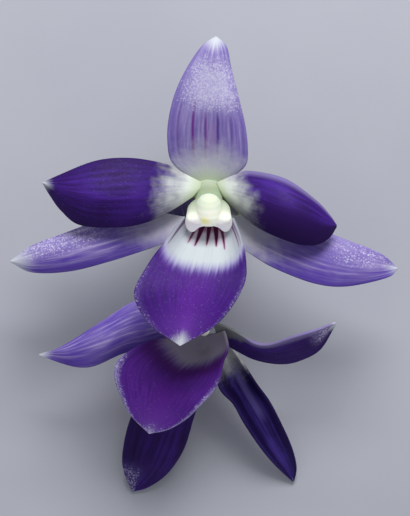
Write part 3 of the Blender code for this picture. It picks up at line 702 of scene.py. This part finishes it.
for name, (shape, look) in PETALS.items():
    petal = grow_blade(name, **shape)
    pigment = (SEPAL_LAVENDER, SEPAL_VIOLET) if name == "lower_petal_left" else (PETAL_VIOLET, PETAL_DARK)
    petal.data.materials.append(skin(name + "_skin", *pigment, seed=shape["seed"], **look))
    settle(petal, "petal", name)

# %% [markdown]
# ## Lateral sepals
# The lateral sepals reach out sideways below the petals. They are paler, with long light streaks and painted
# glints near the tips. Those of the lower bloom hang down in the shade, which is painted into their dark
# violet colours.

# %% Lateral sepals
SEPALS = {
    "upper_lateral_sepal_left": (dict(veins=7, seed=7, wave=0.08), SEPAL_LAVENDER, SEPAL_VIOLET, dict(
        streak=(14, 2.5), streak_amount=0.7, shaded_side=(0.7, 0.95, 0.65), margin_dark=0.2, painted_glints=0.05,
        sheen_patch=(0.2, 0.75, 0.5, 0.4, 0.6), base=(0.32, 0.2), slant=0.12, base_colour=screen(206, 204, 216),
        heart=0.02,
        tip=(0.9, 0.09))),
    "upper_lateral_sepal_right": (dict(veins=7, seed=8, wave=0.08), SEPAL_LAVENDER, SEPAL_VIOLET, dict(
        streak=(14, 2.5), streak_amount=0.6, shaded_side=(0.75, 1.0, 0.8), margin_dark=0.2, painted_glints=0.05,
        sheen_patch=(0.25, 0.8, 0.5, 0.3, 0.45), base=(0.26, 0.18), base_colour=screen(200, 200, 208), heart=0.02,
        tip=(0.96, 0.06))),
    # painted shade: the lower bloom's lateral sepals lie in shade, so their violets are painted dark
    "lower_lateral_sepal_left": (dict(veins=7, seed=9, wave=0.03), screen(62, 30, 124),
                                 screen(34, 10, 70), dict(
        streak=(16, 2.5), shaded_side=(0.65, 0.2, 0.6), margin_dark=0.1, pale=screen(120, 104, 176),
        sheen_patch=(0.15, 0.92, 0.5, 0.16, 0.6), base=(0.08, 0.05), heart=0.05, tip=(0.99, 0.03))),
    "lower_lateral_sepal_right": (dict(fold=1.6, veins=7, seed=10, wave=0.03), screen(70, 52, 140),
                                  screen(26, 10, 64), dict(
        streak=(12, 2), shaded_side=(0.75, 0.95, 0.6), margin_dark=0.4, pale=screen(120, 108, 176),
        # painted shadow and highlight: a dark strip along one side where the folded sepal is in shadow, and a
        # pale strip near the fold where it catches the light
        veins=[(0.16, 0.2, 0.0, 1.0, 0.95, screen(24, 8, 58)),
               (0.62, 0.2, 0.25, 0.52, 0.8, screen(112, 98, 170))],
        base=(0.22, 0.1), base_colour=screen(168, 170, 168), heart=0.02, tip=(0.99, 0.02))),
}
for name, (shape, body, shade, look) in SEPALS.items():
    sepal = grow_blade(name, **shape)
    sepal.data.materials.append(skin(name + "_skin", body, shade, seed=shape["seed"], **look))
    settle(sepal, "sepal", name)

# %% [markdown]
# The upper lip is seen whole, with its lined throat. The lower one is half hidden in the upper lip's shadow:
# its throat is painted grey violet as shade, with a painted shadow band where the blade folds.

# %% Lips
upper_lip = grow_blade("upper_lip", veins=13, vein_rise=0.03, wave=0.12, seed=11)
upper_lip.data.materials.append(lip_skin("upper_lip_skin", 0.455, 0.24, 2.2, LIP_PURPLE, LIP_DARK, seed=2.0,
                                         tip_start=0.87))
settle(upper_lip, "lip", "upper_lip")

lower_lip = grow_blade("lower_lip", fold=1.5, veins=13, vein_rise=0.03, wave=0.1, seed=12)
# painted shade: the lower lip lies in the upper lip's shadow, so its throat is painted grey violet and its
# fold gets a painted shadow band; its rim carries strong painted glints
lower_lip.data.materials.append(lip_skin(
    "lower_lip_skin", 0.4, 0.24, 1.2, screen(108, 46, 166), screen(78, 32, 134), throat=screen(142, 134, 152),
    lined=0.0, rim_pale_glints=0.7, tip_start=0.93, fold_shade=0.85, seed=9.0))
settle(lower_lip, "lip", "lower_lip")

# %% [markdown]
# ## Column and anther cap
# In the heart of each bloom stands the column, where stigma and stamen have grown together. It is a cream
# hood with a rounded lobe at each lower corner, and the anther cap sits between them. A copy of each CAD
# solid is remeshed into fine even faces and relaxed, so that the lobes and the foot flow into the hood as
# grown flesh. The cap is fattened until it closes the gap that the solids keep between them.

# %% Copy helper
def loose_copy(node, name, fatten=0.0):
    """A copy of a CAD node with its points merged, made fatter if asked."""
    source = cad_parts[node]
    copy = bpy.data.objects.new(name, source.data.copy())
    bpy.context.scene.collection.objects.link(copy)
    copy.data.transform(source.matrix_world)
    copy.data.materials.clear()
    edit_all(copy)
    bpy.ops.mesh.remove_doubles(threshold=0.000002)
    bpy.ops.mesh.normals_make_consistent(inside=False)
    if fatten:
        bpy.ops.transform.shrink_fatten(value=fatten * MM)
    edit_done()
    return copy


def even_faces(obj, voxel):
    """A remesh into small even faces."""
    remesh = obj.modifiers.new("even faces", "REMESH")
    remesh.mode = "VOXEL"
    remesh.voxel_size = voxel * MM


def swell(obj, amount):
    """Move the whole surface outwards, or inwards where the amount is negative."""
    push = obj.modifiers.new("swell", "DISPLACE")
    push.mid_level = 0.0
    push.strength = amount * MM


def relax(obj, rounds):
    """Even out small steps in the surface."""
    soft = obj.modifiers.new("relax", "SMOOTH")
    soft.factor = 0.6
    soft.iterations = rounds


def soft_copy(node, name, voxel, rounds, fatten=0.0):
    """A copy of a CAD node, remeshed fine and relaxed."""
    copy = loose_copy(node, name, fatten)
    even_faces(copy, voxel)
    relax(copy, rounds)
    apply_all(copy)
    return smooth(copy)


def add_bulb(obj, centre, half_size, tilt=0.0):
    """Join an ellipsoid (mm) onto a piece, for flesh that has grown together."""
    bpy.ops.object.select_all(action="DESELECT")
    bpy.ops.mesh.primitive_uv_sphere_add(segments=32, ring_count=16, radius=1, rotation=(tilt, 0, 0),
                                         location=Vector(centre) * MM)
    bulb = bpy.context.object
    bulb.scale = Vector(half_size) * MM
    bpy.ops.object.transform_apply(location=True, rotation=True, scale=True)
    only(obj)
    bulb.select_set(True)
    bpy.ops.object.join()


def fuse(obj, voxel, fill, rounds):
    """Make one skin of all that was joined, with every crease filled to a soft fillet."""
    even_faces(obj, voxel)
    swell(obj, fill)
    even_faces(obj, voxel)
    swell(obj, -fill)
    even_faces(obj, voxel)
    relax(obj, rounds)
    apply_all(obj)
    return smooth(obj)


# %% [markdown]
# Hood and cap are waxy flesh. Light seeps through them, which a little subsurface scattering stands for. A
# faint glow of their own colour is painted light that keeps their shaded side bright, and their cream is
# painted near white on the side turned from the light. The neck has no glow.

# %% Column and cap skins
def waxy(recipe, colour, painted_glow):
    """Fleshy wax: light seeps through thin parts, and a glow of its own colour, which is painted light, keeps
    the shaded side bright.
    """
    grain = recipe.noise(9000.0, 2.0)
    # the emission is painted light: a glow of the surface's own colour
    lit = recipe.mix(painted_glow, screen(0, 0, 0), colour)
    recipe.tree.links.new(lit.socket, recipe.shader.inputs["Emission Color"])
    return recipe.finish(colour, 0.5 + grain * 0.12, grain, 0.00001, 0.3, Subsurface_Weight=0.2,
                         Subsurface_Scale=0.0008, Specular_IOR_Level=0.15, Emission_Strength=0.25)


def hood_light_fill(recipe, back, low, high):
    """Painted light: near white above the lower edge, on the side turned from the light, and duller cream
    where the hood turns to the light.
    """
    return recipe.mix(back.rise(low + (high - low) * 0.15, low + (high - low) * 0.75), CREAM_SHADE_LIFT, CREAM)


def column_skin(name, low, high, lobes):
    """Waxy cream on top, greener towards the neck, lilac white on the side lobes."""
    recipe = Recipe(name)
    place = recipe.place()
    height = recipe.part_of(place, "Z")
    back = recipe.part_of(place, "Y")
    drift = recipe.noise(700.0, 3.0)
    length = high[1] - low[1]
    face = low[1] + length * 0.1
    # painted light: the cream is lighter on the hood's shaded lower side
    colour = hood_light_fill(recipe, back, face, high[1] - length * 0.27)
    colour = recipe.mix((back + (drift - 0.5) * 0.0006).rise(low[1] + length * 0.35, low[1] + length * 0.1),
                        colour, lobes)
    neck = (back + (drift - 0.5) * 0.0008).rise(high[1] - length * 0.62, high[1] - length * 0.3)
    colour = recipe.mix(neck, colour, NECK_GREEN)
    foot = (height + (drift - 0.5) * 0.0008).rise(low[2] + 0.0030, low[2] + 0.0008)
    colour = recipe.mix(foot, colour, NECK_GREEN)
    colour = recipe.mix((back - high[1]).rise(-0.0006, 0.0006), colour, screen(190, 200, 180))
    return waxy(recipe, colour, (1.0 - neck) * (1.0 - foot))


def cap_skin(name, spot, lip, low, high):
    """Cream cap with a yellow spot above its lower edge, and a pink edge."""
    recipe = Recipe(name)
    drift = recipe.noise(1500.0, 3.0)

    def near(centre, reach):
        away = recipe.node("ShaderNodeVectorMath", "Value", {"operation": "DISTANCE"},
                           {0: recipe.place(), 1: centre})
        return (away + (drift - 0.5) * 0.0003).rise(reach, reach * 0.25)
    # painted light: the cream is lighter on the cap's shaded lower side
    colour = hood_light_fill(recipe, recipe.part_of(recipe.place(), "Y"), low, high)
    colour = recipe.mix(near(spot, 0.0008) * 0.9, colour, YELLOW_SPOT)
    colour = recipe.mix(near(lip, 0.0006) * 0.5, colour, screen(236, 190, 196))
    return waxy(recipe, colour, 1.0)


# %% [markdown]
# The hood has to flow around the cap like one bell. The column's copy is joined with a fattened copy of the
# cap, with a dome under the cap and with a fleshy collar where all the petals begin. All of it is swollen,
# remeshed into one skin and shrunk again: what is closer together than twice the swelling stays filled, so
# every crease becomes a soft fillet.

# %% Columns and caps
CAP_CLOSING = 0.3
CREASE_FILL = 0.8
COLLARS = {
    "upper": [((0.5, 6.5, 16.6), (2.3, 1.6, 1.75)), ((0.55, 8.6, 13.9), (1.6, 1.1, 0.85)),
              ((0.44, 8.75, 13.2), (1.75, 1.35, 0.7)), ((0.45, 8.45, 12.3), (1.1, 1.1, 0.5))],
    "lower": [((-1.63, -4.45, 11.8), (2.05, 1.5, 1.5)), ((-0.1, -4.3, 8.9), (0.9, 0.9, 0.5)),
              ((-0.05, -4.45, 8.25), (1.0, 1.0, 0.45))],
}
# painted shade: the lower bloom's lobes are grey violet because they lie in shade under the upper lip
for bloom, lobes in (("upper", LOBE_LILAC), ("lower", screen(124, 118, 134))):
    column = loose_copy(bloom + "_column", "fine_" + bloom + "_column")
    bulk = loose_copy(bloom + "_anther_cap", bloom + "_bulk", fatten=CAP_CLOSING * 0.7)
    only(column)
    bulk.select_set(True)
    bpy.ops.object.join()
    for bulb in COLLARS[bloom]:
        add_bulb(column, *bulb)
    fuse(column, 0.09, CREASE_FILL, 8)
    column.data.materials.append(column_skin(bloom + "_column_wax", *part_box(bloom + "_column"), lobes))
    settle(column, "column", bloom + "_column")
    low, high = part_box(bloom + "_anther_cap")
    cap = soft_copy(bloom + "_anther_cap", "fine_" + bloom + "_anther_cap", 0.08, 6, fatten=CAP_CLOSING)
    spot = ((low[0] + high[0]) / 2 - 0.0003, low[1] + 0.0005, (low[2] + high[2]) / 2 + 0.0008)
    rim = ((low[0] + high[0]) / 2 + 0.0001, low[1] - 0.0003, (low[2] + high[2]) / 2)
    cap.data.materials.append(cap_skin(bloom + "_cap_wax", spot, rim, low[1], high[1]))
    settle(cap, "anther_cap", bloom + "_anther_cap")

# %% [markdown]
# ## Chins, ovaries, rachis and bracts
# Behind each lip the foot of the column makes a blunt chin. The ovary below a bloom is grooved and narrows
# into the pedicel, and both pedicels leave the short rachis. Dry papery bracts clasp the rachis.

# %% Green flesh
def stalk_skin(name, main, dull, pale_from=None, cut_at=None):
    """Green flesh with tiny pale pores; an ovary pales towards its bloom, and a cut end shows its pith."""
    recipe = Recipe(name)
    drift = recipe.noise(420.0, 4.0)
    colour = recipe.mix(drift.rise(0.35, 0.7), dull, main)
    dome = recipe.cells(5200.0)[2]
    pore = dome.rise(0.18, 0.06)
    colour = recipe.mix(pore * 0.35, colour, screen(196, 200, 150))
    flush = recipe.noise(160.0, 2.0).rise(0.55, 0.75)
    colour = recipe.mix(flush * 0.35, colour, screen(96, 66, 110))
    if pale_from is not None:
        height = recipe.part_of(recipe.place(), "Z")
        colour = recipe.mix(height.rise(pale_from, pale_from + 0.0025), colour, HEART_GREEN)
    if cut_at is not None:
        side = recipe.part_of(recipe.place(), "X")
        fibres = recipe.cells(4200.0)[2].rise(0.2, 0.5)
        pith = recipe.mix(fibres, screen(120, 116, 66), screen(206, 206, 160))
        colour = recipe.mix(side.rise(cut_at, cut_at - 0.00012), colour, pith)
    return recipe.finish(colour, 0.45 + drift * 0.2, drift + pore * 0.4, 0.00004, 0.5,
                         Subsurface_Weight=0.05, Subsurface_Scale=0.0006)


# %% [markdown]
# A chin hangs under its bloom. A bulb of flesh joins it to the foot of the column, and its colour turns
# green towards that foot.

# %% Chins
CHIN_BRIDGES = {
    "upper": ((0.43, 6.5, 12.3), (0.85, 1.4, 0.55), 0.49),
    "lower": ((-0.05, -6.1, 6.9), (0.7, 1.6, 0.7), 0.9),
}
for bloom, bridge in CHIN_BRIDGES.items():
    chin = loose_copy(bloom + "_mentum", "fine_" + bloom + "_mentum")
    add_bulb(chin, *bridge)
    fuse(chin, 0.1, 0.3, 4)
    recipe = Recipe(bloom + "_chin_skin")
    drift = recipe.noise(700.0, 3.0)
    colour = recipe.mix(drift.rise(0.35, 0.7), SEPAL_LAVENDER, screen(178, 180, 196))
    height, bridge_height = recipe.part_of(recipe.place(), "Z"), bridge[0][2] * MM
    colour = recipe.mix(height.rise(bridge_height - 0.001, bridge_height), colour, HEART_GREEN)
    chin.data.materials.append(recipe.finish(colour, 0.45 + drift * 0.15, recipe.noise(6000.0), 0.00002, 0.3))
    settle(chin, "sepal", bloom + "_mentum")

# %% [markdown]
# An ovary has six shallow grooves. The rachis is thicker where a pedicel leaves it and below its cut end,
# so bulbs are joined on there and fused into one skin.

# %% Ovaries and rachis
def groove(obj, low, high, count, depth):
    """Press shallow lengthwise grooves into the upper part of a stalk."""
    for vertex in obj.data.vertices:
        normal = vertex.normal.copy()
        angle = math.atan2(normal.y, normal.x)
        amount = depth * max(0.0, min(1.0, ((vertex.co.z - low) / (high - low) - 0.35) / 0.3))
        vertex.co -= normal * (amount * (0.5 - 0.5 * math.cos(angle * count)))


for bloom in ("upper", "lower"):
    node = bloom + "_ovary"
    low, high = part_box(node)
    ovary = soft_copy(node, "fine_" + node, 0.11, 3)
    groove(ovary, low[2], high[2], 6, 0.1 * MM)
    ovary.data.materials.append(stalk_skin(node + "_flesh", screen(132, 142, 88), screen(100, 108, 66),
                                           pale_from=high[2] - 0.0035))
    settle(ovary, "stalk", node)

RACHIS_JOINTS = [((2.3, 8.45, 1.85), (0.95, 0.95, 0.7)), ((4.65, 7.15, 1.2), (0.85, 0.85, 0.7)),
                 ((-6.1, 9.4, 1.06), (0.35, 1.2, 1.02)), ((6.2, 7.75, 0.85), (0.6, 0.6, 0.6))]
rachis = loose_copy("rachis", "fine_rachis")
for centre, half_size in RACHIS_JOINTS:
    add_bulb(rachis, centre, half_size)
fuse(rachis, 0.11, 0.25, 3)
rachis.data.materials.append(stalk_skin("rachis_flesh", STALK_GREEN, STALK_DULL,
                                        cut_at=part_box("rachis")[0][0] + 0.00025))
settle(rachis, "stalk", "rachis")

# %% [markdown]
# The bracts are the papery scales that covered the buds. Each is a small blade of its own that clasps its
# stalk at the root and lifts off towards the tip, so its guide curves are worked out from the stalk's
# radius.

# %% Bracts
def clasping(root, along, outward, radius, length, wrap, lift):
    """Guide curves of a scale that wraps a stalk (mm): one edge, the midrib, the other edge."""
    root = Vector(root)
    along = Vector(along).normalized()
    outward = Vector(outward)
    outward = (outward - along * outward.dot(along)).normalized()
    side = along.cross(outward)
    curves = ([], [], [])
    for step in range(7):
        t = step / 6
        angle = wrap * (1 - t ** 2.2)
        away = radius + lift * t ** 2
        middle = root + along * (length * t)
        for curve, turn in zip(curves, (angle, 0.0, -angle)):
            curve.append(middle + outward * (away * math.cos(turn)) + side * (away * math.sin(turn)))
    return curves


BRACTS = {
    "bract_base": clasping((-7.25, 9.43, 1.0), (1, -0.07, 0), (0, 0.25, 1), 1.32, 4.1, 1.5, 0.45),
    "bract_upper": clasping((2.32, 8.5, 1.5), (0.04, 0.16, 1), (0, 1, 0), 1.05, 2.9, 1.35, 0.5),
    "bract_lower": clasping((4.95, 8.0, 0.95), (0.35, 0.2, 0.9), (0.1, 1, 0), 1.05, 2.4, 1.1, 0.4),
}
for seed, (name, curves) in enumerate(BRACTS.items(), 20):
    scale = grow_blade(name, veins=9, vein_rise=0.03, wave=0.08, rim=0.5, seed=seed, curves=curves,
                       thickness=0.3)
    recipe = Recipe(name + "_paper")
    s, t = recipe.blade_place()
    grain = recipe.long_streaks(s, t, 26, 3, seed, 0.7)
    colour = recipe.mix(grain.rise(0.35, 0.7), screen(128, 102, 62), BRACT_TAN)
    colour = recipe.mix((t + (grain - 0.5) * 0.3).rise(0.75, 1.0) * 0.7, colour, screen(92, 62, 36))
    colour = recipe.mix(t.rise(0.25, 0.0) * 0.5, colour, STALK_DULL)
    scale.data.materials.append(recipe.finish(colour, 0.7 + grain * 0.15, grain, 0.00005, 0.6))
    settle(scale, "bract", name)

# %% [markdown]
# ## Table, light and camera
# The spray lies on a plain pale table. One large soft light comes from beyond the top of the picture, as in
# the photograph, where the upper petals shade what lies under them. The camera looks straight down.

# %% Table
bpy.ops.object.select_all(action="DESELECT")
bpy.ops.mesh.primitive_plane_add(size=3.0, location=(0, 0, -0.00002))
table = bpy.context.object
table.name = "table"
recipe = Recipe("pale_table")
mottle = recipe.noise(30.0, 3.0)
colour = recipe.mix(mottle.rise(0.3, 0.7), screen(176, 178, 188), screen(182, 184, 193))
table.data.materials.append(recipe.finish(colour, 0.7))

# %% [markdown]
# A large area light gives soft shadows, as a window does. The world adds an even, slightly blue light from
# all sides.

# %% Lights
def soft_light(name, place, target, size, power):
    """A square area light that faces its target (mm)."""
    light = bpy.data.lights.new(name, "AREA")
    light.shape = "SQUARE"
    light.size = size * MM
    light.energy = power
    holder = bpy.data.objects.new(name, light)
    bpy.context.scene.collection.objects.link(holder)
    holder.location = Vector(place) * MM
    aim = (Vector(target) - Vector(place)).normalized()
    holder.rotation_euler = aim.to_track_quat("-Z", "Y").to_euler()
    return holder


soft_light("window_light", (30, 185, 205), (0, 0, 12), 120, 0.66)
world = bpy.data.worlds.new("studio")
bpy.context.scene.world = world
world.use_nodes = True
world.node_tree.nodes["Background"].inputs["Color"].default_value = (0.86, 0.88, 0.95, 1.0)
world.node_tree.nodes["Background"].inputs["Strength"].default_value = 0.4

# %% [markdown]
# The camera stands far off with a long lens, so that the petals keep their proportions. Its place and its
# focal length in pixels are the ones that the guide curves were read with.

# %% Camera
PHOTO_HEIGHT = 516
camera_data = bpy.data.cameras.new("photo_camera")
camera_data.sensor_width = 36.0
camera_data.lens = FOCAL_PIXELS * camera_data.sensor_width / PHOTO_HEIGHT
camera_data.clip_start = 0.001
camera = bpy.data.objects.new("photo_camera", camera_data)
bpy.context.scene.collection.objects.link(camera)
camera.location = Vector(CAMERA_PLACE) * MM
bpy.context.scene.camera = camera
bpy.context.scene.view_settings.view_transform = "Standard"
print("camera", camera_data.lens, "mm lens")
